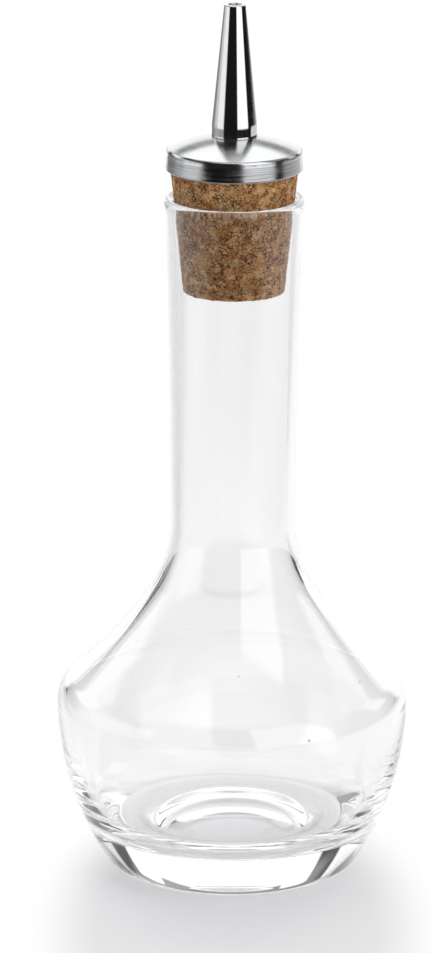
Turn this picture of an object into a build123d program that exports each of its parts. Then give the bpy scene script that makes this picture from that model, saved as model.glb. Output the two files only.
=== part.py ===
from build123d import *
import os
from math import asin, cos, degrees, radians, sin, sqrt, tan

# Bitters bottle: a heavy-based glass flask closed by a tapered cork that carries a steel dasher head.
# Millimetres, +Z up, the origin is the centre of the base on the surface that the bottle stands on.

os.makedirs("parts", exist_ok=True)

# Glass bottle, outside
bottle_height = 137.6
belly_radius = 35.0
belly_height = 33.9
flank_radius = 58.5
heel_radius = 5.0
shoulder_radius = 7.5
shoulder_turn = 50.0
neck_turn = 33.0
neck_blend_radius = 24.5
neck_radius = 12.45
collar_radius = 13.0
collar_drop = 17.6
lip_radius = 13.85

# Glass bottle, inside and underneath
glass_wall = 1.8
bowl_side_radius = 45.0
bowl_corner_radius = 10.0
floor_height = 9.5
floor_width = 2.5
kick_rounding = 2.5
kick_angle = 17.0
punt_radius = 14.4
punt_depth = 3.5

# Cork stopper
stopper_clearance = 0.15
cork_insertion = 18.7
cork_reveal = 5.7
cork_taper_angle = 6.1
cork_head_gap = 0.4
cork_foot_rounding = 0.6
cork_head_chamfer = 0.4

# Steel cap over the cork's head
cap_wall = 0.5
cap_clearance = 0.15
cap_skirt_height = 4.0
cap_skirt_flare = 0.25
cap_dome_rise = 2.9
cap_edge_rounding = 0.7

# Dasher spout standing on the cap
outlet_radius = 1.3
spout_height = 25.8
spout_foot_radius = 4.55
spout_foot_height = 2.0
spout_tip_wall = 0.85
spout_tip_rounding = 0.3
spigot_wall = 1.0
spigot_gap = 0.6
socket_depth = 6.0
seat_clearance = 0.02

# Feed tube through the cork, and the washer that it holds against the cork's foot
tube_wall = 0.6
tube_bore_clearance = 0.08
tube_end_gap = 0.3
tube_flare_width = 0.6
tube_flare_thickness = 0.4
washer_width = 2.3
washer_thickness = 0.8
washer_gap = 0.05

# Levels, from the surface upwards
lip_height = bottle_height - glass_wall / 2
collar_height = bottle_height - collar_drop
cork_foot = bottle_height - cork_insertion
cap_foot = bottle_height + cork_reveal
cap_edge = cap_foot + cap_skirt_height
cork_top = cap_edge - cap_wall - cork_head_gap
dome_top = cap_edge + cap_dome_rise
spout_top = dome_top + spout_height

# Radii that follow the mouth: the cork fits the mouth, the cap fits the cork
mouth_radius = lip_radius - glass_wall
cork_mouth_radius = mouth_radius - stopper_clearance
cork_taper_share = tan(radians(cork_taper_angle))
cork_foot_radius = cork_mouth_radius - (lip_height - cork_foot) * cork_taper_share
cork_head_radius = cork_mouth_radius + (cap_foot - lip_height) * cork_taper_share
cap_top_radius = cork_head_radius + cap_clearance + cap_wall
cap_foot_radius = cap_top_radius + cap_skirt_flare
dome_radius = (cap_top_radius**2 + cap_dome_rise**2) / (2 * cap_dome_rise)

# Radii that follow the outlet: one passage runs from the cork's foot to the tip
tube_radius = outlet_radius + tube_wall
tube_bore_radius = tube_radius + tube_bore_clearance
tube_flare_radius = tube_radius + tube_flare_width
socket_radius = tube_radius + seat_clearance
spigot_radius = socket_radius + spigot_wall
cap_hole_radius = spigot_radius + seat_clearance
spout_tip_radius = outlet_radius + spout_tip_wall
washer_radius = tube_radius + washer_width


def dome_height(radius):
    """Height of the cap's domed top at a distance from the axis."""
    return dome_top - dome_radius + sqrt(dome_radius**2 - radius**2)


# The long curve between the shoulder and the neck takes up what the two tight curves leave
slope_start_radius = belly_radius - shoulder_radius * (1 - cos(radians(shoulder_turn)))
slope_end_radius = neck_radius + neck_blend_radius * (1 - cos(radians(neck_turn)))
slope_turn_share = cos(radians(neck_turn)) - cos(radians(shoulder_turn))
slope_radius = (slope_start_radius - slope_end_radius) / slope_turn_share

# The flank comes down from the widest place to the foot on one arc
foot_radius = belly_radius - flank_radius + sqrt(flank_radius**2 - belly_height**2)

# Inside, the bowl's side leaves the widest place upright and turns in through a tighter corner to the floor
bowl_radius = belly_radius - glass_wall
bowl_drop = belly_height - floor_height - bowl_corner_radius
bowl_turn = degrees(asin(bowl_drop / (bowl_side_radius - bowl_corner_radius)))
corner_run = (bowl_side_radius - bowl_corner_radius) * cos(radians(bowl_turn))
floor_inner_radius = bowl_radius - bowl_side_radius + corner_run - floor_width

# The floor is pushed up in the middle, over the punt, and that dome meets the floor on a small curve
kick_foot_radius = floor_inner_radius - kick_rounding * sin(radians(kick_angle))
kick_radius = kick_foot_radius / sin(radians(kick_angle))
kick_height = floor_height + (kick_radius + kick_rounding) * (1 - cos(radians(kick_angle)))

# Glass bottle, one revolved section with a thick base and a rounded, fire-polished lip
with BuildPart() as glass_bottle:
    with BuildSketch(Plane.XZ):
        with BuildLine():
            punt = TangentArc((0, punt_depth), (punt_radius, 0), tangent=(1, 0))
            foot = Line(punt @ 1, (foot_radius, 0))
            flank = TangentArc((belly_radius, belly_height), foot @ 1, tangent=(0, -1))
            shoulder = JernArc(flank @ 0, (0, 1), shoulder_radius, shoulder_turn)
            slope = JernArc(shoulder @ 1, shoulder % 1, slope_radius, neck_turn - shoulder_turn)
            blend = JernArc(slope @ 1, slope % 1, neck_blend_radius, -neck_turn)
            neck = TangentArc(blend @ 1, (collar_radius, collar_height), tangent=(0, 1))
            flare = TangentArc(neck @ 1, (lip_radius, lip_height), tangent=neck % 1)
            lip = ThreePointArc(
                flare @ 1, (lip_radius - glass_wall / 2, bottle_height), (mouth_radius, lip_height)
            )
            widest = (bowl_radius, belly_height)
            bowl_shoulder = JernArc(widest, (0, 1), shoulder_radius - glass_wall, shoulder_turn)
            bowl_slope = JernArc(
                bowl_shoulder @ 1, bowl_shoulder % 1, slope_radius + glass_wall, neck_turn - shoulder_turn
            )
            bore_blend = JernArc(bowl_slope @ 1, bowl_slope % 1, neck_blend_radius + glass_wall, -neck_turn)
            bore = TangentArc(bore_blend @ 1, (collar_radius - glass_wall, collar_height), tangent=(0, 1))
            bore_flare = TangentArc(bore @ 1, lip @ 1, tangent=bore % 1)
            bowl_flank = JernArc(widest, (0, -1), bowl_side_radius, -bowl_turn)
            bowl_corner = JernArc(bowl_flank @ 1, bowl_flank % 1, bowl_corner_radius, bowl_turn - 90)
            bowl_floor = Line(bowl_corner @ 1, (floor_inner_radius, floor_height))
            kick_curve = JernArc(bowl_floor @ 1, (-1, 0), kick_rounding, -kick_angle)
            kick = TangentArc((0, kick_height), kick_curve @ 1, tangent=(1, 0))
            Line(kick @ 0, punt @ 0)
        make_face()
    revolve(axis=Axis.Z)
    heel_edge = edges().group_by(Axis.Z)[0].sort_by(SortBy.RADIUS)[-1]
    fillet(heel_edge, heel_radius)
glass_bottle.part.label = "glass_bottle"
export_step(glass_bottle.part, "parts/glass_bottle.step")

# Cork stopper: a cone that fits the mouth, a straight head inside the cap, a bore for the tube
with BuildPart(Plane.XY.offset(cork_foot)) as cork_stopper:
    Cone(
        cork_foot_radius,
        cork_head_radius,
        cap_foot - cork_foot,
        align=(Align.CENTER, Align.CENTER, Align.MIN),
    )
    fillet(edges().group_by(Axis.Z)[0], cork_foot_rounding)
    extrude(faces().sort_by(Axis.Z)[-1], amount=cork_top - cap_foot)
    chamfer(edges().group_by(Axis.Z)[-1], cork_head_chamfer)
    Hole(tube_bore_radius)
cork_stopper.part.label = "cork_stopper"
export_step(cork_stopper.part, "parts/cork_stopper.step")

# Steel cap: a pressed sheet shell with a domed top and a skirt that opens slightly downwards
with BuildPart() as steel_cap:
    with BuildSketch(Plane.XZ):
        with BuildLine():
            cap_base = Line((0, cap_foot), (cap_foot_radius, cap_foot))
            skirt = Line(cap_base @ 1, (cap_top_radius, cap_edge))
            dome = TangentArc((0, dome_top), skirt @ 1, tangent=(1, 0))
            Line(dome @ 0, cap_base @ 0)
        make_face()
    revolve(axis=Axis.Z)
    dome_edge = edges().filter_by(lambda edge: edge.is_closed).sort_by(Axis.Z)[-1]
    fillet(dome_edge, cap_edge_rounding)
    offset(amount=-cap_wall, openings=faces().sort_by(Axis.Z)[0])
    with Locations(Plane.XY.offset(dome_top)):
        Hole(cap_hole_radius)
steel_cap.part.label = "steel_cap"
export_step(steel_cap.part, "parts/steel_cap.step")

# Dasher spout: a turned cone on a short straight foot, its spigot goes down through the cap
spigot_foot = cork_top + spigot_gap
with BuildPart() as dasher_spout:
    with BuildSketch(Plane.XZ):
        with BuildLine():
            seat_inner = (spigot_radius, dome_height(spigot_radius) + seat_clearance)
            seat_outer = (spout_foot_radius, dome_height(spout_foot_radius) + seat_clearance)
            seat = RadiusArc(seat_inner, seat_outer, dome_radius)
            spout_foot = Line(seat @ 1, (spout_foot_radius, dome_top + spout_foot_height))
            cone = Line(spout_foot @ 1, (spout_tip_radius, spout_top))
            tip = Line(cone @ 1, (outlet_radius, spout_top))
            outlet = Line(tip @ 1, (outlet_radius, spigot_foot))
            spigot_base = Line(outlet @ 1, (spigot_radius, spigot_foot))
            Line(spigot_base @ 1, seat @ 0)
        make_face()
    revolve(axis=Axis.Z)
    fillet(edges().group_by(Axis.Z)[-1].sort_by(SortBy.RADIUS)[-1], spout_tip_rounding)
    with Locations(Plane(origin=(0, 0, spigot_foot), z_dir=(0, 0, -1))):
        Hole(socket_radius, depth=socket_depth)
dasher_spout.part.label = "dasher_spout"
export_step(dasher_spout.part, "parts/dasher_spout.step")

# Feed tube: from the spout's socket down through the cork, flared below the washer
tube_top = spigot_foot + socket_depth - tube_end_gap
washer_top = cork_foot - washer_gap
tube_foot = washer_top - washer_thickness - washer_gap - tube_flare_thickness
with BuildPart(Plane.XY.offset(tube_foot)) as feed_tube:
    Cylinder(tube_radius, tube_top - tube_foot, align=(Align.CENTER, Align.CENTER, Align.MIN))
    Cylinder(tube_flare_radius, tube_flare_thickness, align=(Align.CENTER, Align.CENTER, Align.MIN))
    Hole(outlet_radius)
feed_tube.part.label = "feed_tube"
export_step(feed_tube.part, "parts/feed_tube.step")

# Retaining washer between the cork's foot and the tube's flare
with BuildPart(Plane.XY.offset(washer_top - washer_thickness)) as retaining_washer:
    Cylinder(washer_radius, washer_thickness, align=(Align.CENTER, Align.CENTER, Align.MIN))
    Hole(socket_radius)
retaining_washer.part.label = "retaining_washer"
export_step(retaining_washer.part, "parts/retaining_washer.step")
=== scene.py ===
import logging
from dataclasses import dataclass
from enum import Enum
from math import asin, atan2, cos, degrees, hypot, pi, radians, sin, sqrt, tan
from typing import Any, Mapping, Sequence

import bpy
from mathutils import Matrix, Vector


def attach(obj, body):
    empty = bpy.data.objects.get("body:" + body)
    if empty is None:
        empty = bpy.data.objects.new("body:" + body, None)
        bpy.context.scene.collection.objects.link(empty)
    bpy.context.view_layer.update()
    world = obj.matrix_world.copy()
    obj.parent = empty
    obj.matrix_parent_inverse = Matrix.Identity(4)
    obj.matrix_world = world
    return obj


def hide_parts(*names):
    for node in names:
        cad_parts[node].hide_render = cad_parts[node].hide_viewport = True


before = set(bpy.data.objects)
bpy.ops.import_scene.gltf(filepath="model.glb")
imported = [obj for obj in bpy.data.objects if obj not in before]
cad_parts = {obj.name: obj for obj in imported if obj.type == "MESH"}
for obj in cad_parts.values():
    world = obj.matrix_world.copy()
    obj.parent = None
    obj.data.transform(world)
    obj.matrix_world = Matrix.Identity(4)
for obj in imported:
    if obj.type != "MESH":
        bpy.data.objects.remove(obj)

LOG = logging.getLogger("bitters_bottle")
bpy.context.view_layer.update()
MM = 0.001
WELD = 2e-6
UNEVEN = "uneven"
# A vertex this near to a ring, in millimetres, is taken to lie on it
RING_REACH = 0.02
# A look straight through both walls of the bottle crosses four surfaces, more than this
BOTH_WALLS = 3.5
Point = tuple[float, float]
Seed = tuple[float, float, float, float]
Colour = tuple[float, float, float, float]


# Drawing helpers


def linear(code: str) -> Colour:
    """Turns an sRGB hex colour into a linear one.

    Args:
        code: the colour as six hex digits after a hash.

    Returns:
        Red, green and blue as linear light, and an alpha of one.
    """
    shares = [int(code[i : i + 2], 16) / 255 for i in (1, 3, 5)]
    light = [s / 12.92 if s <= 0.04045 else ((s + 0.055) / 1.055) ** 2.4 for s in shares]
    return (light[0], light[1], light[2], 1.0)


def add_node(
    tree: bpy.types.NodeTree, kind: str, inputs: Mapping[Any, Any] | None = None, **settings: Any
) -> bpy.types.Node:
    """Adds a shader node with its settings and links.

    Args:
        tree: the node tree that it goes into.
        kind: the node's type, without the ShaderNode prefix.
        inputs: a value, a node or an output socket for each input, by name or number.
        settings: the node's own properties.

    Returns:
        The new node.
    """
    node = tree.nodes.new("ShaderNode" + kind)
    for name, value in settings.items():
        setattr(node, name, value)
    for key, value in (inputs or {}).items():
        if isinstance(value, bpy.types.Node):
            value = value.outputs[0]
        if isinstance(value, bpy.types.NodeSocket):
            tree.links.new(value, node.inputs[key])
        else:
            node.inputs[key].default_value = value
    return node


def set_ramp(node: bpy.types.Node, stops: Sequence[tuple[float, Colour]]) -> None:
    """Gives a colour ramp its stops.

    Args:
        node: the colour ramp node.
        stops: a place from zero to one and a linear colour for each stop.
    """
    elements = node.color_ramp.elements
    while len(elements) < len(stops):
        elements.new(1.0)
    for element, (place, colour) in zip(elements, stops):
        element.position = place
        element.color = colour


def new_material(name: str) -> tuple[bpy.types.Material, bpy.types.NodeTree]:
    """Makes an empty node material.

    Args:
        name: the real material and how its surface was made.

    Returns:
        The material and its node tree, with only an output in it.
    """
    material = bpy.data.materials.new(name)
    material.use_nodes = True
    material.node_tree.nodes.clear()
    return material, material.node_tree


# Turned shapes


class Outline:
    """A section drawn as a chain of lines and arcs, in millimetres: radius first, then height."""

    def __init__(self, radius: float, height: float, heading: float) -> None:
        """Starts the chain at a point, with a heading in degrees, counted upwards from outwards."""
        self.points: list[Point] = [(radius, height)]
        self.heading = heading

    def face(self, heading: float) -> "Outline":
        """Turns on the spot, which leaves a corner."""
        self.heading = heading
        return self

    def arc(self, radius: float, turn: float, cuts: int) -> "Outline":
        """Goes on along an arc that leaves in the present heading.

        Args:
            radius: the arc's radius.
            turn: how far the heading turns in degrees, positive to the left.
            cuts: the number of edges along it.

        Returns:
            The outline itself, for the next step of the chain.
        """
        side = 1 if turn > 0 else -1
        normal = radians(self.heading) + side * pi / 2
        x, z = self.points[-1]
        centre = (x + radius * cos(normal), z + radius * sin(normal))
        for i in range(1, cuts + 1):
            angle = normal + pi + radians(turn) * i / cuts
            self.points.append((centre[0] + radius * cos(angle), centre[1] + radius * sin(angle)))
        self.heading += turn
        return self

    def curve_to(self, radius: float, height: float, cuts: int) -> "Outline":
        """Goes to a point on the one arc that leaves in the present heading."""
        x, z = self.points[-1]
        chord = hypot(radius - x, height - z)
        lean = degrees(atan2(height - z, radius - x)) - self.heading
        return self.arc(chord / (2 * abs(sin(radians(lean)))), 2 * lean, cuts)

    def line_to(self, radius: float, height: float, cuts: int = 1) -> "Outline":
        """Goes straight to a point, and faces the way that it went."""
        x, z = self.points[-1]
        self.heading = degrees(atan2(height - z, radius - x))
        for i in range(1, cuts + 1):
            self.points.append((x + (radius - x) * i / cuts, z + (height - z) * i / cuts))
        return self


def enter_edit(piece: bpy.types.Object, mode: str = "VERT") -> None:
    """Selects one piece alone and opens it in edit mode with nothing of it selected."""
    bpy.ops.object.select_all(action="DESELECT")
    piece.select_set(True)
    bpy.context.view_layer.objects.active = piece
    bpy.ops.object.mode_set(mode="EDIT")
    bpy.ops.mesh.select_mode(type=mode)
    bpy.ops.mesh.select_all(action="DESELECT")


def turn_outline(
    name: str,
    points: Sequence[Point],
    steps: int,
    closed: bool = False,
    weights: Sequence[float] = (),
) -> bpy.types.Object:
    """Extrudes a vertex along an outline and spins it once about the bottle's axis.

    Args:
        name: the new piece's name.
        points: the section, in millimetres.
        steps: the number of faces around the axis.
        closed: whether the section joins its own start, as on a piece with a bore.
        weights: how much each point takes part in the vertex group of the uneven surface.

    Returns:
        The new piece, welded, with its faces outwards and smooth.
    """
    bpy.ops.object.select_all(action="DESELECT")
    bpy.ops.mesh.primitive_plane_add(size=MM, location=(0, 0, 0))
    piece = bpy.context.object
    piece.name = piece.data.name = name
    bpy.ops.object.mode_set(mode="EDIT")
    bpy.ops.mesh.select_mode(type="VERT")
    bpy.ops.mesh.merge(type="CENTER")
    bpy.ops.transform.translate(value=(points[0][0] * MM, 0, points[0][1] * MM))
    last = points[0]
    for point in points[1:]:
        step = ((point[0] - last[0]) * MM, 0, (point[1] - last[1]) * MM)
        bpy.ops.mesh.extrude_region_move(TRANSFORM_OT_translate={"value": step})
        last = point
    if closed:
        bpy.ops.mesh.select_all(action="SELECT")
        bpy.ops.mesh.edge_face_add()
        bpy.ops.mesh.delete(type="ONLY_FACE")
    bpy.ops.object.mode_set(mode="OBJECT")
    group = piece.vertex_groups.new(name=UNEVEN)
    for index, share in enumerate(weights):
        group.add([index], share, "REPLACE")
    bpy.ops.object.mode_set(mode="EDIT")
    bpy.ops.mesh.select_all(action="SELECT")
    bpy.ops.mesh.spin(steps=steps, angle=2 * pi, center=(0, 0, 0), axis=(0, 0, 1))
    bpy.ops.mesh.select_all(action="SELECT")
    bpy.ops.mesh.remove_doubles(threshold=WELD)
    bpy.ops.mesh.normals_make_consistent(inside=False)
    bpy.ops.object.mode_set(mode="OBJECT")
    bpy.ops.object.shade_smooth()
    return piece


def bevel_ring(
    piece: bpy.types.Object, radius: float, height: float, width: float, segments: int = 3
) -> None:
    """Breaks a sharp ring edge of a turned piece.

    Args:
        piece: the turned piece.
        radius: the ring's radius, in millimetres.
        height: the ring's height, in millimetres.
        width: how far the break reaches from the corner, in millimetres.
        segments: the number of faces across it.
    """
    enter_edit(piece, "EDGE")
    bpy.ops.object.mode_set(mode="OBJECT")
    on_ring = [
        abs(hypot(vertex.co.x, vertex.co.y) / MM - radius) < RING_REACH
        and abs(vertex.co.z / MM - height) < RING_REACH
        for vertex in piece.data.vertices
    ]
    for edge in piece.data.edges:
        edge.select = all(on_ring[i] for i in edge.vertices)
    bpy.ops.object.mode_set(mode="EDIT")
    bpy.ops.mesh.bevel(
        offset=width * MM, offset_type="OFFSET", segments=segments, profile=0.5, affect="EDGES"
    )
    bpy.ops.object.mode_set(mode="OBJECT")


def push_surface(
    piece: bpy.types.Object, texture: bpy.types.Texture, depth: float, middle: float
) -> None:
    """Pushes the uneven part of a piece in and out by a texture, and applies it.

    Args:
        piece: the piece.
        texture: a procedural texture in the piece's own space.
        depth: the full reach, in millimetres.
        middle: the texture value that leaves the surface where it is.
    """
    bpy.ops.object.select_all(action="DESELECT")
    piece.select_set(True)
    bpy.context.view_layer.objects.active = piece
    push = piece.modifiers.new("unevenness", "DISPLACE")
    push.texture = texture
    push.texture_coords = "LOCAL"
    push.strength = depth * MM
    push.mid_level = middle
    push.vertex_group = UNEVEN
    bpy.ops.object.modifier_apply(modifier=push.name)


def smooth_by_angle(piece: bpy.types.Object, angle: float) -> None:
    """Shades a piece smooth, apart from edges sharper than an angle in degrees."""
    bpy.ops.object.select_all(action="DESELECT")
    piece.select_set(True)
    bpy.context.view_layer.objects.active = piece
    bpy.ops.object.shade_smooth_by_angle(angle=radians(angle), keep_sharp_edges=False)


# Finishes


@dataclass(frozen=True)
class BlownGlass:
    """Soda-lime glass, mouth blown and fire polished."""

    # To the eye: quite clear and colourless, glossy all over, with edges that gather light and
    # dark, and slow waves that bend what lies behind, as in glass that no polished mould touched
    tint: str = "#FCFCFC"
    shade: str = "#FAFAFB"
    ior: float = 1.5
    cord_width: float = 14.0
    cord_squash: float = 0.45
    cord_depth: float = 0.05
    smear: float = 3.0
    smear_limits: tuple[float, float] = (0.5, 0.8)
    dullest: float = 0.012

    def material(self) -> bpy.types.Material:
        """Makes the clear glass: soft waves that bend what lies behind, and a pale shadow."""
        material, tree = new_material("soda_lime_glass_fire_polished")
        place = add_node(tree, "TexCoord").outputs["Object"]
        squash = (1.0, 1.0, self.cord_squash)
        stretch = add_node(tree, "Mapping", {"Vector": place, "Scale": squash})
        width = self.cord_width * MM
        waves = add_node(tree, "TexNoise", {"Vector": stretch, "Scale": 1 / width, "Detail": 0.0})
        smear = self.smear * MM
        smears = add_node(tree, "TexNoise", {"Vector": place, "Scale": 1 / smear, "Detail": 2.0})
        depth = self.cord_depth * MM
        bump = add_node(tree, "Bump", {"Height": waves, "Strength": 0.6, "Distance": depth})
        low, high = self.smear_limits
        gloss = add_node(
            tree,
            "MapRange",
            {"Value": smears, "From Min": low, "From Max": high, "To Max": self.dullest},
        )
        glass = add_node(
            tree,
            "BsdfPrincipled",
            {
                "Base Color": linear(self.tint),
                "Roughness": gloss,
                "IOR": self.ior,
                "Transmission Weight": 1.0,
                "Normal": bump,
            },
        )
        # Shadow rays go straight through, so the floor gets the pale shade that clear glass leaves
        veil = add_node(tree, "BsdfTransparent", {"Color": linear(self.shade)})
        rays = add_node(tree, "LightPath")
        mixed = add_node(tree, "MixShader", {0: rays.outputs["Is Shadow Ray"], 1: glass, 2: veil})
        add_node(tree, "OutputMaterial", {"Surface": mixed})
        return material


@dataclass(frozen=True)
class PressedCork:
    """Cork granules pressed and glued, then ground to a taper. Sizes are in millimetres."""

    # To the eye: matt, warm tan and orange grains cut flat by the grinding wheel, with dark bark
    # specks and clusters of thin broken joints between them. Real pores are about 0.03 mm across,
    # and are drawn coarser so that they show
    granule: float = 1.2
    wander: float = 0.8
    pull: float = 1.1
    mottle: float = 0.36
    mottle_limits: tuple[float, float] = (0.36, 0.64)
    tone_limits: tuple[float, float] = (0.78, 1.22)
    speck: float = 0.4
    speck_limits: tuple[float, float] = (0.65, 0.57)
    speck_edge: float = 0.025
    crack: float = 0.76
    crack_edge: tuple[float, float] = (0.04, 0.11)
    cluster: float = 2.0
    cluster_edge: tuple[float, float] = (0.44, 0.5)
    patch: float = 4.5
    bark_share: float = 0.88
    pore: float = 0.16
    relief: float = 0.14
    rough_limits: tuple[float, float] = (0.7, 0.95)
    browns: tuple[str, ...] = ("#BE8250", "#D09D68", "#E6BD8D", "#D29458")
    bark: str = "#3C1A0A"

    def material(self) -> bpy.types.Material:
        """Makes the cork: tan and orange granules, clustered cracks, dark bark specks, all matt."""
        material, tree = new_material("cork_granules_pressed_and_ground")
        place = add_node(tree, "TexCoord").outputs["Object"]
        scale = 1 / (self.wander * MM)
        wander = add_node(tree, "TexNoise", {"Vector": place, "Scale": scale, "Detail": 3.0})
        middle = (0.5, 0.5, 0.5)
        shift = add_node(
            tree, "VectorMath", {0: wander.outputs["Color"], 1: middle}, operation="SUBTRACT"
        )
        reach = (self.pull * MM,) * 3
        pulled = add_node(
            tree, "VectorMath", {0: shift, 1: reach, 2: place}, operation="MULTIPLY_ADD"
        )
        # Each granule has one brown of its own, and is mottled finely within
        cells = add_node(tree, "TexVoronoi", {"Vector": pulled, "Scale": 1 / (self.granule * MM)})
        browns = add_node(tree, "ValToRGB", {"Fac": cells.outputs["Color"]})
        set_ramp(browns, [(0.2 + 0.2 * i, linear(code)) for i, code in enumerate(self.browns)])
        scale = 1 / (self.mottle * MM)
        mottle = add_node(
            tree, "TexNoise", {"Vector": place, "Scale": scale, "Detail": 4.0, "Roughness": 0.6}
        )
        low, high = self.mottle_limits
        darkest, palest = self.tone_limits
        tones = add_node(
            tree,
            "MapRange",
            {
                "Value": mottle,
                "From Min": low,
                "From Max": high,
                "To Min": darkest,
                "To Max": palest,
            },
        )
        toned = add_node(
            tree,
            "Mix",
            {"Factor": 1.0, 6: browns, 7: tones},
            data_type="RGBA",
            blend_type="MULTIPLY",
        )
        # Bark specks crowd together in places and thin out in others
        scale = 1 / (self.patch * MM)
        patches = add_node(tree, "TexNoise", {"Vector": place, "Scale": scale, "Detail": 2.0})
        crowd = add_node(tree, "MapRange", {"Value": patches, "From Min": low, "From Max": high})
        scale = 1 / (self.speck * MM)
        flecks = add_node(
            tree, "TexNoise", {"Vector": place, "Scale": scale, "Detail": 2.0, "Roughness": 0.6}
        )
        few, many = self.speck_limits
        least = add_node(tree, "MapRange", {"Value": crowd, "To Min": few, "To Max": many})
        over = add_node(tree, "Math", {0: flecks, 1: least}, operation="SUBTRACT")
        specks = add_node(tree, "MapRange", {"Value": over, "From Max": self.speck_edge})
        # Cracks follow the joints of small granules, and only in clusters
        joints = add_node(
            tree,
            "TexVoronoi",
            {"Vector": pulled, "Scale": 1 / (self.crack * MM)},
            feature="DISTANCE_TO_EDGE",
        )
        open_joint, closed_joint = self.crack_edge
        thin = add_node(
            tree,
            "MapRange",
            {
                "Value": joints.outputs["Distance"],
                "From Min": open_joint,
                "From Max": closed_joint,
                "To Min": 1.0,
                "To Max": 0.0,
            },
        )
        scale = 1 / (self.cluster * MM)
        breaks = add_node(tree, "TexNoise", {"Vector": place, "Scale": scale, "Detail": 4.0})
        low, high = self.cluster_edge
        here = add_node(tree, "MapRange", {"Value": breaks, "From Min": low, "From Max": high})
        cracks = add_node(tree, "Math", {0: thin, 1: here}, operation="MULTIPLY")
        dark = add_node(tree, "Math", {0: specks, 1: cracks}, operation="MAXIMUM")
        share = add_node(tree, "Math", {0: dark, 1: self.bark_share}, operation="MULTIPLY")
        coloured = add_node(
            tree,
            "Mix",
            {"Factor": share, 6: toned.outputs[2], 7: linear(self.bark)},
            data_type="RGBA",
        )
        scale = 1 / (self.pore * MM)
        pores = add_node(tree, "TexNoise", {"Vector": place, "Scale": scale, "Detail": 2.0})
        relief = add_node(tree, "Math", {0: pores, 1: dark}, operation="SUBTRACT")
        depth = self.relief * MM
        bump = add_node(tree, "Bump", {"Height": relief, "Strength": 0.7, "Distance": depth})
        low, high = self.rough_limits
        rough = add_node(
            tree,
            "MapRange",
            {"Value": mottle, "From Min": 0.3, "From Max": 0.7, "To Min": low, "To Max": high},
        )
        skin = add_node(
            tree,
            "BsdfPrincipled",
            {
                "Base Color": coloured.outputs[2],
                "Roughness": rough,
                "Specular IOR Level": 0.25,
                "Normal": bump,
            },
        )
        add_node(tree, "OutputMaterial", {"Surface": skin})
        return material


class Working(Enum):
    """How steel was worked: a name, the two roughness limits, and the millimetres between lines."""

    # Brush and die lines are really about 0.05 mm apart, and are drawn coarser so that they show
    MIRROR = ("mirror_polished", 0.04, 0.1, 0.5)
    SATIN = ("polished", 0.14, 0.24, 0.5)
    BRUSHED = ("brushed_around", 0.12, 0.28, 0.45)
    DRAWN = ("drawn", 0.16, 0.3, 0.22)


@dataclass(frozen=True)
class StainlessSteel:
    """Stainless steel, pressed, turned or drawn, then worked. Sizes are in millimetres."""

    # To the eye: cool bright grey. A mirror polish keeps hard dark and white stripes, a lighter
    # polish blurs them, brushing leaves fine streaks around the axis, and drawing along it
    piece: str
    working: Working
    colour: str = "#D9DADB"
    anisotropy: float = 0.0
    streak: float = 0.93
    around: tuple[float, float, float] = (0.04, 0.04, 1.0)
    along: tuple[float, float, float] = (1.0, 1.0, 0.05)
    smear: float = 2.5
    polished_relief: float = 0.004
    lined_relief: float = 0.03
    line_limits: tuple[float, float] = (0.1, 0.45)
    tone_stops: tuple[float, float] = (0.3, 0.7)

    def material(self) -> bpy.types.Material:
        """Makes the steel: fine lines one way, faint cloudy smears in the polish, a cool grey."""
        label, smoothest, roughest, spacing = self.working.value
        material, tree = new_material(f"stainless_steel_{self.piece}_{label}")
        place = add_node(tree, "TexCoord").outputs["Object"]
        way = self.along if self.working is Working.DRAWN else self.around
        stretch = add_node(tree, "Mapping", {"Vector": place, "Scale": way})
        scale = 1 / (spacing * MM)
        lines = add_node(tree, "TexNoise", {"Vector": stretch, "Scale": scale, "Detail": 3.0})
        scale = 1 / (self.smear * MM)
        smears = add_node(tree, "TexNoise", {"Vector": place, "Scale": scale, "Detail": 3.0})
        both = add_node(tree, "Math", {0: lines, 1: smears}, operation="MULTIPLY")
        low, high = self.line_limits
        rough = add_node(
            tree,
            "MapRange",
            {
                "Value": both,
                "From Min": low,
                "From Max": high,
                "To Min": smoothest,
                "To Max": roughest,
            },
        )
        pattern = lines if self.working is Working.BRUSHED else smears
        tone = add_node(tree, "ValToRGB", {"Fac": pattern})
        base = linear(self.colour)
        streak = tuple(channel * self.streak for channel in base[:3]) + (1.0,)
        low, high = self.tone_stops
        set_ramp(tone, [(low, streak), (high, base)])
        polished = self.working in (Working.MIRROR, Working.SATIN)
        depth = (self.polished_relief if polished else self.lined_relief) * MM
        bump = add_node(tree, "Bump", {"Height": lines, "Strength": 0.5, "Distance": depth})
        steel = add_node(
            tree,
            "BsdfPrincipled",
            {
                "Base Color": tone,
                "Metallic": 1.0,
                "Roughness": rough,
                "Anisotropic": self.anisotropy,
                "Normal": bump,
            },
        )
        if self.anisotropy:
            tangent = add_node(tree, "Tangent", direction_type="RADIAL", axis="Z")
            tree.links.new(tangent.outputs[0], steel.inputs["Tangent"])
        add_node(tree, "OutputMaterial", {"Surface": steel})
        return material


# The bottle


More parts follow.
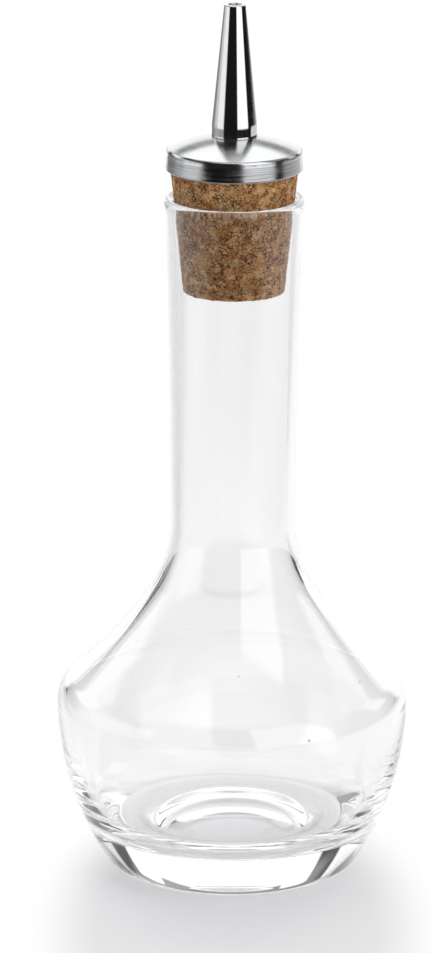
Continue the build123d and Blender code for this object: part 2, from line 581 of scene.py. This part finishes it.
@dataclass
class GlassFlask:
    """The blown bottle, in millimetres: heavy base, round belly, long neck and polished lip."""

    height: float = 137.6
    belly_radius: float = 35.0
    belly_height: float = 33.9
    flank_radius: float = 58.5
    heel_radius: float = 5.0
    shoulder_radius: float = 7.5
    shoulder_turn: float = 50.0
    neck_turn: float = 33.0
    blend_radius: float = 24.5
    neck_radius: float = 12.45
    collar_radius: float = 13.0
    collar_drop: float = 17.6
    lip_radius: float = 13.85
    wall: float = 1.8
    side_radius: float = 45.0
    corner_radius: float = 10.0
    floor_height: float = 9.5
    kick_rounding: float = 7.0
    kick_angle: float = 17.0
    punt_radius: float = 14.4
    punt_depth: float = 3.5
    punt_break: float = 0.5
    waviness: float = 0.22
    wave_length: float = 26.0
    calm_length: float = 45.0
    # Each seed is a bubble: its angle in degrees, distance from the axis, height and radius
    seeds: tuple[Seed, ...] = (
        (-87.1, 24.2, 46.4, 0.22),
        (-63.8, 34.0, 35.4, 0.24),
        (38.0, 33.9, 31.0, 0.2),
    )
    seed_stretch: float = 1.35
    steps: int = 240

    def slope_radius(self) -> float:
        """Gives the radius of the long hollow arc that joins the shoulder's arc to the neck's."""
        start = self.belly_radius - self.shoulder_radius * (1 - cos(radians(self.shoulder_turn)))
        end = self.neck_radius + self.blend_radius * (1 - cos(radians(self.neck_turn)))
        return (start - end) / (cos(radians(self.neck_turn)) - cos(radians(self.shoulder_turn)))

    def outside(self) -> list[Point]:
        """Draws the outer skin from the middle of the punt up to the lip."""
        sphere = (self.punt_radius**2 + self.punt_depth**2) / (2 * self.punt_depth)
        middle = self.belly_radius - self.flank_radius
        reach = self.flank_radius - self.heel_radius
        heel = middle + sqrt(reach**2 - (self.belly_height - self.heel_radius) ** 2)
        heel_turn = 90 - degrees(asin((self.belly_height - self.heel_radius) / reach))
        slope = self.slope_radius()
        line = Outline(0, self.punt_depth, 0)
        line.arc(sphere, -degrees(asin(self.punt_radius / sphere)), 16).line_to(heel, 0, 4)
        line.arc(self.heel_radius, heel_turn, 14).arc(self.flank_radius, 90 - heel_turn, 40)
        line.arc(self.shoulder_radius, self.shoulder_turn, 22)
        line.arc(slope, self.neck_turn - self.shoulder_turn, 22)
        line.arc(self.blend_radius, -self.neck_turn, 20)
        line.curve_to(self.collar_radius, self.height - self.collar_drop, 12)
        line.curve_to(self.lip_radius, self.height - self.wall / 2, 8)
        return line.face(90).arc(self.wall / 2, 180, 14).points

    def inside(self) -> list[Point]:
        """Draws the inner skin from the middle of the pushed-up floor up to the lip."""
        radius = self.belly_radius - self.wall
        reach = self.side_radius - self.corner_radius
        drop = self.belly_height - self.floor_height - self.corner_radius
        side_turn = degrees(asin(drop / reach))
        foot = radius - self.side_radius + reach * cos(radians(side_turn))
        lean = radians(self.kick_angle)
        kick = (foot - self.kick_rounding * sin(lean)) / sin(lean)
        rise = (kick + self.kick_rounding) * (1 - cos(lean))
        line = Outline(0, self.floor_height + rise, 0)
        line.arc(kick, -self.kick_angle, 18).arc(self.kick_rounding, self.kick_angle, 8)
        line.arc(self.corner_radius, 90 - side_turn, 24).arc(self.side_radius, side_turn, 30)
        line.arc(self.shoulder_radius - self.wall, self.shoulder_turn, 18)
        line.arc(self.slope_radius() + self.wall, self.neck_turn - self.shoulder_turn, 22)
        line.arc(self.blend_radius + self.wall, -self.neck_turn, 20)
        line.curve_to(self.collar_radius - self.wall, self.height - self.collar_drop, 12)
        return line.curve_to(self.lip_radius - self.wall, self.height - self.wall / 2, 8).points

    def add_seeds(self, glass: bpy.types.Object) -> None:
        """Puts a few tiny round bubbles into the wall, as closed hollows inside the glass."""
        for angle, distance, height, size in self.seeds:
            turn = radians(angle)
            place = (distance * MM * cos(turn), distance * MM * sin(turn), height * MM)
            bpy.ops.object.select_all(action="DESELECT")
            bpy.ops.mesh.primitive_ico_sphere_add(subdivisions=2, radius=size * MM, location=place)
            bpy.ops.object.mode_set(mode="EDIT")
            bpy.ops.transform.resize(value=(1.0, 1.0, self.seed_stretch))
            bpy.ops.mesh.flip_normals()
            bpy.ops.object.mode_set(mode="OBJECT")
            bpy.ops.object.shade_smooth()
            glass.select_set(True)
            bpy.context.view_layer.objects.active = glass
            bpy.ops.object.join()

    def build(self) -> bpy.types.Object:
        """Makes the bottle, rides it on its body and dresses it.

        Returns:
            The bottle's piece.
        """
        outer = self.outside()
        inner = self.inside()[::-1][1:]
        # Only the inner wall is uneven, and it calms down on the way up the neck
        calm = self.height - self.calm_length
        waves = [min(1.0, max(0.0, (calm - height) / self.calm_length)) for _, height in inner]
        weights = [0.0] * len(outer) + waves
        glass = turn_outline("glass_flask", outer + inner, self.steps, weights=weights)
        bevel_ring(glass, self.punt_radius, 0, self.punt_break, 4)
        blown = bpy.data.textures.new("blown_waves", "CLOUDS")
        blown.noise_scale = self.wave_length * MM
        blown.noise_depth = 0
        push_surface(glass, blown, self.waviness, 0.5)
        self.add_seeds(glass)
        glass.data.materials.append(BlownGlass().material())
        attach(glass, "bottle")
        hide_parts("glass_bottle")
        return glass


@dataclass
class CorkStopper:
    """The tapered cork, in millimetres: a cone in the mouth, a head in the cap, and a bore."""

    foot: float = 118.9
    cap_foot: float = 143.3
    top: float = 146.4
    foot_radius: float = 9.998
    head_radius: float = 12.605
    bore: float = 1.98
    rounding: float = 0.4
    chamfer: float = 0.4
    pit_depth: float = 0.14
    joint_share: float = 0.2
    granule: float = 1.2
    steps: int = 380

    def build(self) -> bpy.types.Object:
        """Makes the cork with its open joints pitted into the surface, and dresses it.

        Returns:
            The cork's piece.
        """
        lean = degrees(atan2(self.cap_foot - self.foot, self.head_radius - self.foot_radius))
        line = Outline(self.bore, self.foot, 0)
        line.line_to(self.foot_radius - self.rounding * tan(radians(lean / 2)), self.foot, 14)
        line.arc(self.rounding, lean, 5).line_to(self.head_radius, self.cap_foot, 96)
        skin = len(line.points)
        line.line_to(self.head_radius, self.top - self.chamfer, 3)
        line.line_to(self.head_radius - self.chamfer, self.top).line_to(self.bore, self.top, 4)
        # The foot and the cone are pitted, and the head in the cap and the bore's edge stay true
        weights = [1.0] * skin + [0.0] * (len(line.points) - skin)
        weights[0] = 0.0
        cork = turn_outline("tapered_cork", line.points, self.steps, closed=True, weights=weights)
        joints = bpy.data.textures.new("granule_joints", "VORONOI")
        joints.noise_scale = self.granule * MM
        joints.weight_1, joints.weight_2 = -1.0, 1.0
        joints.use_color_ramp = True
        open_joint, granule = joints.color_ramp.elements
        open_joint.color, granule.color = (0, 0, 0, 1), (1, 1, 1, 1)
        granule.position = self.joint_share
        push_surface(cork, joints, self.pit_depth, 1.0)
        cork.data.materials.append(PressedCork(granule=self.granule).material())
        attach(cork, "stopper")
        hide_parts("cork_stopper")
        return cork


@dataclass
class SteelHead:
    """The steel on the cork, in millimetres: pressed cap, turned spout, drawn tube and washer."""

    cap_foot: float = 143.3
    cap_edge: float = 147.3
    dome_top: float = 150.2
    cap_foot_radius: float = 13.505
    cap_top_radius: float = 13.255
    cap_wall: float = 0.5
    edge_rounding: float = 1.1
    hole: float = 2.94
    spigot_foot: float = 147.0
    spigot: float = 2.92
    socket: float = 1.92
    socket_top: float = 153.0
    outlet: float = 1.3
    spout_foot_radius: float = 4.55
    spout_shoulder: float = 152.2
    tip_radius: float = 2.15
    tip: float = 176.0
    seat_gap: float = 0.02
    foot_break: float = 0.14
    inner_foot_break: float = 0.1
    hole_break: float = 0.08
    seat_break: float = 0.12
    shoulder_break: float = 0.35
    tip_break: float = 0.28
    outlet_break: float = 0.12
    crease: float = 40.0
    upright: float = 0.1
    steps: int = 256

    def dome_radius(self) -> float:
        """Gives the radius of the sphere that the cap's top is part of."""
        rise = self.dome_top - self.cap_edge
        return (self.cap_top_radius**2 + rise**2) / (2 * rise)

    def dome_height(self, radius: float) -> float:
        """Gives the height of the cap's top at a distance from the axis."""
        sphere = self.dome_radius()
        return self.dome_top - sphere + sqrt(sphere**2 - radius**2)

    def cap(self) -> bpy.types.Object:
        """Makes the cap: skirt brushed around, dome polished, every edge broken."""
        sphere = self.dome_radius()
        crown = self.dome_top - sphere
        inner_sphere = sphere - self.cap_wall
        inner_hole = (self.hole, crown + sqrt(inner_sphere**2 - self.hole**2))
        inner_top = self.cap_top_radius - self.cap_wall
        rim_angle = degrees(asin(self.cap_top_radius / sphere))
        span = degrees(asin(self.cap_top_radius / sphere) - asin(self.hole / sphere))
        inner_span = degrees(asin(inner_top / inner_sphere) - asin(self.hole / inner_sphere))
        line = Outline(self.cap_foot_radius - self.cap_wall, self.cap_foot, 0)
        line.line_to(self.cap_foot_radius, self.cap_foot)
        line.line_to(self.cap_top_radius, self.cap_edge, 12)
        line.face(180 - rim_angle).arc(sphere, span, 28).line_to(*inner_hole, 2)
        line.face(-degrees(asin(self.hole / inner_sphere)))
        line.arc(inner_sphere, -inner_span, 14).line_to(*line.points[0], 6)
        cap = turn_outline("domed_cap", line.points[:-1], self.steps, closed=True)
        edge_width = self.edge_rounding * tan(radians((90 - rim_angle) / 2))
        bevel_ring(cap, self.cap_top_radius, self.cap_edge, edge_width, 8)
        bevel_ring(cap, self.cap_foot_radius, self.cap_foot, self.foot_break)
        inner_foot = self.cap_foot_radius - self.cap_wall
        bevel_ring(cap, inner_foot, self.cap_foot, self.inner_foot_break, 2)
        bevel_ring(cap, self.hole, self.dome_height(self.hole), self.hole_break, 2)
        smooth_by_angle(cap, self.crease)
        dome = StainlessSteel("pressed", Working.SATIN)
        skirt = StainlessSteel("pressed", Working.BRUSHED, "#C4C5C7", anisotropy=0.5, streak=0.7)
        for finish in (dome, skirt):
            cap.data.materials.append(finish.material())
        # Only the upright faces under the rounded edge are brushed
        skirt_top = (self.cap_edge - self.edge_rounding) * MM
        for face in cap.data.polygons:
            sideways = hypot(face.normal.x, face.normal.y) > self.upright
            face.material_index = int(face.center.z < skirt_top and sideways)
        return cap

    def spout(self) -> bpy.types.Object:
        """Makes the spout: foot seated on the dome, long cone, flat tip with its outlet."""
        seat = self.dome_height(self.spout_foot_radius) + self.seat_gap
        line = Outline(self.spigot, self.dome_height(self.spigot) + self.seat_gap, 0)
        line.curve_to(self.spout_foot_radius, seat, 4)
        line.line_to(self.spout_foot_radius, self.spout_shoulder, 4)
        line.line_to(self.tip_radius, self.tip, 40).line_to(self.outlet, self.tip)
        line.line_to(self.outlet, self.socket_top, 20).line_to(self.socket, self.socket_top)
        line.line_to(self.socket, self.spigot_foot, 4).line_to(self.spigot, self.spigot_foot)
        spout = turn_outline("dasher_cone", line.points, self.steps, closed=True)
        bevel_ring(spout, self.spout_foot_radius, seat, self.seat_break)
        bevel_ring(spout, self.spout_foot_radius, self.spout_shoulder, self.shoulder_break, 5)
        bevel_ring(spout, self.tip_radius, self.tip, self.tip_break, 5)
        bevel_ring(spout, self.outlet, self.tip, self.outlet_break)
        smooth_by_angle(spout, self.crease)
        spout.data.materials.append(StainlessSteel("turned", Working.MIRROR, "#DCDDDE").material())
        return spout

    def build(self) -> list[bpy.types.Object]:
        """Makes the cap and the spout, and gives the tube and the washer of the CAD their steel.

        Returns:
            The cap's piece and the spout's piece.
        """
        drawn = StainlessSteel("tube", Working.DRAWN, "#C6C7C9").material()
        for name in ("feed_tube", "retaining_washer"):
            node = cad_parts[name]
            for slot in node.material_slots:
                slot.material = drawn
        cap, spout = self.cap(), self.spout()
        places = ((cap, "steel_cap", "cap_steel"), (spout, "dasher_spout", "spout_steel"))
        for piece, node, slot in places:
            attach(piece, "dasher_head")
            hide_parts(node)
        return [cap, spout]


# The studio


@dataclass(frozen=True)
class Card:
    """A soft bright panel far away, in degrees. Azimuth runs from the camera to the right."""

    azimuth: float
    half_width: float
    low: float
    high: float
    level: float
    softness: float


@dataclass(frozen=True)
class Lamp:
    """A square lamp above and behind the bottle: place and side in metres, power in watts."""

    name: str
    place: tuple[float, float, float]
    power: float
    side: float = 0.35

    def hang(self, height: float) -> None:
        """Hangs the lamp facing the bottle's axis at a height above its foot, in metres."""
        lamp = bpy.data.lights.new(self.name, "AREA")
        lamp.shape = "RECTANGLE"
        lamp.size = lamp.size_y = self.side
        lamp.energy = self.power
        holder = bpy.data.objects.new(self.name, lamp)
        bpy.context.scene.collection.objects.link(holder)
        holder.visible_glossy = holder.visible_transmission = False
        aim = Vector((0, 0, height)) - Vector(self.place)
        turn = aim.to_track_quat("-Z", "Y").to_matrix().to_4x4()
        holder.matrix_world = Matrix.Translation(self.place) @ turn


@dataclass
class Studio:
    """A pale floor, a bright sweep behind, a dark room in front, and soft panels all around."""

    # Lengths are in millimetres, apart from those of the lamps, and angles are in degrees. Each
    # card gives azimuth, half width, lowest and highest elevation, level and edge softness
    cards: tuple[Card, ...] = (
        # The left soft box, its glow on the wall, and the dim wall under both
        Card(-76, 20, -12, 27, 1.2, 8.0),
        Card(-98, 24, -14, 27, 0.85, 24.0),
        Card(-105, 45, -25, 2, 0.32, 8.0),
        # The soft box in front on the right, with a low strip and a dim high panel beside it
        Card(43, 28, -9, 61, 1.5, 6.0),
        Card(120, 30, -25, -8, 0.85, 5.0),
        Card(95, 20, 35, 62, 0.3, 8.0),
        # Two narrow boards behind, right and left
        Card(123, 9, 14, 35, 1.0, 3.0),
        Card(-128, 13, 14, 33, 1.2, 2.0),
        # The white sweep behind with its two wings, and the dim gap over it
        Card(176, 31, -90, 23, 1.25, 2.0),
        Card(149, 6, 0, 28, 1.25, 2.0),
        Card(203, 6, 0, 27, 1.25, 2.0),
        Card(180, 35, 18, 38, 0.28, 8.0),
        # The wide light high behind, fading out on both sides
        Card(182, 33, 34, 70, 1.5, 6.0),
        Card(-135, 14, 32, 70, 0.9, 5.0),
        Card(-110, 30, 48, 70, 0.5, 10.0),
        Card(130, 17, 32, 70, 0.7, 5.0),
        Card(115, 20, 48, 70, 0.4, 10.0),
        # The ceiling
        Card(0, 190, 64, 100, 1.2, 28.0),
    )
    lamps: tuple[Lamp, ...] = (
        Lamp("back_left", (-0.55, 0.75, 0.95), 4.6),
        Lamp("back_right", (0.6, 0.7, 0.95), 5.3),
    )
    lamp_aim: float = 0.06
    bounces: int = 256
    clear_bounces: int = 24
    room: float = 0.012
    rim_fade: tuple[float, float] = (-3.0, -6.0)
    floor_drop: float = 0.1
    floor_radius: float = 520.0
    floor_corners: int = 96
    tooth: float = 1.2
    tooth_depth: float = 0.02
    front_fade: tuple[float, float] = (170.0, 330.0)
    front_colour: str = "#2A2A2A"
    side_colour: str = "#CDCDCE"
    floor_colour: str = "#E4E4E5"
    # The painted pool of shade: its centre, its reach across and deep, and the edge where it fades
    # out
    painted_shade_centre: tuple[float, float, float] = (1.0, -40.0, 0.0)
    painted_shade_reach: tuple[float, float] = (34.0, 75.0)
    painted_shade_edge: tuple[float, float] = (0.76, 1.24)
    white_left: tuple[float, float] = (-40.0, -150.0)
    white_right: tuple[float, float] = (150.0, 270.0)

    def card_light(
        self, tree: bpy.types.NodeTree, azimuth: bpy.types.Node, height: bpy.types.Node, card: Card
    ) -> bpy.types.Node:
        """Adds the nodes that give one panel's light: level inside, fading softly at its edges.

        Args:
            tree: the world's node tree.
            azimuth: the node that gives the view direction's azimuth, in degrees.
            height: the node that gives its elevation, in degrees.
            card: the panel.

        Returns:
            The node that gives the panel's strength in that direction.
        """
        away = add_node(tree, "Math", {0: azimuth, 1: card.azimuth + 180}, operation="SUBTRACT")
        turned = add_node(tree, "Math", {0: away, 1: 360.0}, operation="FLOORED_MODULO")
        aside = add_node(tree, "Math", {0: turned, 1: 180.0}, operation="SUBTRACT")
        middle = (card.low + card.high) / 2
        above = add_node(tree, "Math", {0: height, 1: middle}, operation="SUBTRACT")
        light: Any = card.level
        for offset, reach in ((aside, card.half_width), (above, (card.high - card.low) / 2)):
            distance = add_node(tree, "Math", {0: offset}, operation="ABSOLUTE")
            inside = add_node(
                tree,
                "MapRange",
                {
                    "Value": distance,
                    "From Min": reach - card.softness / 2,
                    "From Max": reach + card.softness / 2,
                    "To Min": 1.0,
                    "To Max": 0.0,
                },
                interpolation_type="SMOOTHSTEP",
            )
            light = add_node(tree, "Math", {0: inside, 1: light}, operation="MULTIPLY")
        return light

    def light_world(self) -> None:
        """Makes the world: white to the camera, the panels to everything else."""
        world = bpy.data.worlds.new("studio")
        bpy.context.scene.world = world
        world.use_nodes = True
        tree = world.node_tree
        tree.nodes.clear()
        way = add_node(tree, "SeparateXYZ", {0: add_node(tree, "TexCoord").outputs["Generated"]})
        front = add_node(tree, "Math", {0: way.outputs[1], 1: -1.0}, operation="MULTIPLY")
        turn = add_node(tree, "Math", {0: way.outputs[0], 1: front}, operation="ARCTAN2")
        azimuth = add_node(tree, "Math", {0: turn}, operation="DEGREES")
        lift = add_node(tree, "Math", {0: way.outputs[2]}, operation="ARCSINE")
        height = add_node(tree, "Math", {0: lift}, operation="DEGREES")
        lit: Any = self.room
        for card in self.cards:
            light = self.card_light(tree, azimuth, height, card)
            lit = add_node(tree, "Math", {0: lit, 1: light}, operation="MAXIMUM")
        rays = add_node(tree, "LightPath")
        # A low look straight through both walls, past the floor's rim, meets the white backdrop
        near, far = self.rim_fade
        below = add_node(tree, "MapRange", {"Value": height, "From Min": near, "From Max": far})
        crossed = rays.outputs["Transmission Depth"]
        through = add_node(tree, "Math", {0: crossed, 1: BOTH_WALLS}, operation="GREATER_THAN")
        behind = add_node(tree, "Math", {0: below, 1: through}, operation="MULTIPLY")
        scattered = rays.outputs["Diffuse Depth"]
        looked = add_node(tree, "Math", {0: scattered, 1: 0.5}, operation="LESS_THAN")
        backdrop = add_node(tree, "Math", {0: behind, 1: looked}, operation="MULTIPLY")
        lit = add_node(tree, "Math", {0: lit, 1: backdrop}, operation="MAXIMUM")
        strength = add_node(tree, "Mix", {0: rays.outputs["Is Camera Ray"], 2: lit, 3: 1.0})
        background = add_node(tree, "Background", {"Color": (1, 1, 1, 1), "Strength": strength})
        add_node(tree, "OutputWorld", {"Surface": background})

    def floor_finish(self) -> bpy.types.Material:
        """Makes the floor: pale matt paper, a painted pool of shade, running out to clear white."""
        # To the eye: seamless photographic paper, even and matt, with the bottle's soft shade. The
        # shade is partly real, the lamps' light and the bottle's shadow on the paper, and partly
        # painted: the paper shows only in an ellipse round the bottle and stretched to the front,
        # and glows white beyond it. Its tooth is really about 0.1 mm, and is drawn coarser so that
        # it shows
        material, tree = new_material("matt_paper_sweep")
        place = add_node(tree, "TexCoord").outputs["Object"]
        spot = add_node(tree, "SeparateXYZ", {0: place})
        # The pool of shade is painted: the lit paper shows only inside this ellipse, and white
        # beyond it
        centre = tuple(c * MM for c in self.painted_shade_centre)
        from_painted_shade = add_node(tree, "VectorMath", {0: place, 1: centre}, operation="SUBTRACT")
        across, deep = self.painted_shade_reach
        squeeze = (1 / (across * MM), 1 / (deep * MM), 1.0)
        squeezed = add_node(tree, "VectorMath", {0: from_painted_shade, 1: squeeze}, operation="MULTIPLY")
        away = add_node(tree, "VectorMath", {0: squeezed}, operation="LENGTH").outputs["Value"]
        near, far = self.painted_shade_edge
        beyond_painted_shade = add_node(
            tree,
            "MapRange",
            {"Value": away, "From Min": near, "From Max": far},
            interpolation_type="SMOOTHSTEP",
        )
        left, right = (
            add_node(
                tree,
                "MapRange",
                {"Value": spot.outputs[0], "From Min": near * MM, "From Max": far * MM},
                interpolation_type="SMOOTHSTEP",
            )
            for near, far in (self.white_left, self.white_right)
        )
        beside = add_node(tree, "Math", {0: left, 1: right}, operation="MAXIMUM")
        near, far = self.front_fade
        front = add_node(
            tree,
            "MapRange",
            {"Value": spot.outputs[1], "From Min": -near * MM, "From Max": -far * MM},
            interpolation_type="SMOOTHSTEP",
        )
        rays = add_node(tree, "LightPath")
        # A look straight through both walls shows the floor as pale as it is beside the glass
        crossed = rays.outputs["Transmission Depth"]
        direct = add_node(tree, "Math", {0: crossed, 1: BOTH_WALLS}, operation="LESS_THAN")
        ahead = add_node(tree, "Math", {0: front, 1: direct}, operation="MULTIPLY")
        darker = add_node(tree, "Math", {0: beside, 1: ahead}, operation="MAXIMUM")
        within = add_node(tree, "Math", {0: 1.0, 1: darker}, operation="SUBTRACT")
        seen = rays.outputs["Is Camera Ray"]
        clear = add_node(tree, "Math", {0: within, 1: seen}, operation="MAXIMUM")
        fade = add_node(tree, "Math", {0: beyond_painted_shade, 1: clear}, operation="MULTIPLY")
        scale = 1 / (self.tooth * MM)
        tooth = add_node(tree, "TexNoise", {"Vector": place, "Scale": scale, "Detail": 3.0})
        depth = self.tooth_depth * MM
        bump = add_node(tree, "Bump", {"Height": tooth, "Strength": 0.1, "Distance": depth})
        sides = add_node(
            tree,
            "Mix",
            {"Factor": beside, 6: linear(self.floor_colour), 7: linear(self.side_colour)},
            data_type="RGBA",
        )
        colour = add_node(
            tree,
            "Mix",
            {"Factor": ahead, 6: sides.outputs[2], 7: linear(self.front_colour)},
            data_type="RGBA",
        )
        paper = add_node(
            tree,
            "BsdfPrincipled",
            {
                "Base Color": colour.outputs[2],
                "Roughness": 0.9,
                "Specular IOR Level": 0.2,
                "Normal": bump,
            },
        )
        white = add_node(tree, "Emission", {"Color": (1, 1, 1, 1), "Strength": 1.0})
        # Painted shade: lit paper inside the pool, glowing white outside it
        mixed = add_node(tree, "MixShader", {0: fade, 1: paper, 2: white})
        add_node(tree, "OutputMaterial", {"Surface": mixed})
        return material

    def lay_floor(self) -> bpy.types.Object:
        """Lays the round floor just under the bottle's foot."""
        bpy.ops.object.select_all(action="DESELECT")
        bpy.ops.mesh.primitive_circle_add(
            vertices=self.floor_corners,
            radius=self.floor_radius * MM,
            fill_type="NGON",
            location=(0, 0, -self.floor_drop * MM),
        )
        floor = bpy.context.object
        floor.name = "paper_floor"
        bpy.ops.object.transform_apply(location=True, rotation=False, scale=False)
        floor.data.materials.append(self.floor_finish())
        return floor

    def build(self) -> None:
        """Makes the floor, world and lamps, and allows the bounces that thick glass needs."""
        self.lay_floor()
        self.light_world()
        for lamp in self.lamps:
            lamp.hang(self.lamp_aim)
        cycles = bpy.context.scene.cycles
        cycles.max_bounces = self.bounces
        cycles.transmission_bounces = self.bounces
        cycles.glossy_bounces = self.bounces
        cycles.transparent_max_bounces = self.clear_bounces
        bpy.context.scene.view_settings.view_transform = "Standard"


@dataclass(frozen=True)
class ViewCamera:
    """The camera at the photograph's angle: place in metres, angles in degrees, and lens."""

    place: tuple[float, float, float] = (0.0, -1.128, 0.410)
    pitch: float = 16.29
    yaw: float = 0.177
    roll: float = 0.2
    focal_pixels: float = 5910.0
    frame_height: float = 953.0
    sensor: float = 36.0
    nearest: float = 0.05

    def build(self) -> None:
        """Makes the camera and looks through it."""
        data = bpy.data.cameras.new("view")
        data.sensor_width = self.sensor
        data.lens = self.focal_pixels / self.frame_height * self.sensor
        data.clip_start = self.nearest
        camera = bpy.data.objects.new("view", data)
        bpy.context.scene.collection.objects.link(camera)
        turn = Matrix.Rotation(radians(self.yaw), 4, "Z")
        tilt = Matrix.Rotation(radians(90 - self.pitch), 4, "X")
        roll = Matrix.Rotation(radians(self.roll), 4, "Z")
        camera.matrix_world = Matrix.Translation(self.place) @ turn @ tilt @ roll
        bpy.context.scene.camera = camera


def main() -> None:
    """Builds the bottle, its stopper and the studio, in order."""
    logging.basicConfig(level=logging.INFO, format="%(message)s")
    ViewCamera().build()
    for part in (GlassFlask(), CorkStopper(), SteelHead()):
        made = part.build()
        for piece in made if isinstance(made, list) else [made]:
            LOG.info("%s: %d faces", piece.name, len(piece.data.polygons))
    Studio().build()


if __name__ == "__main__":
    main()
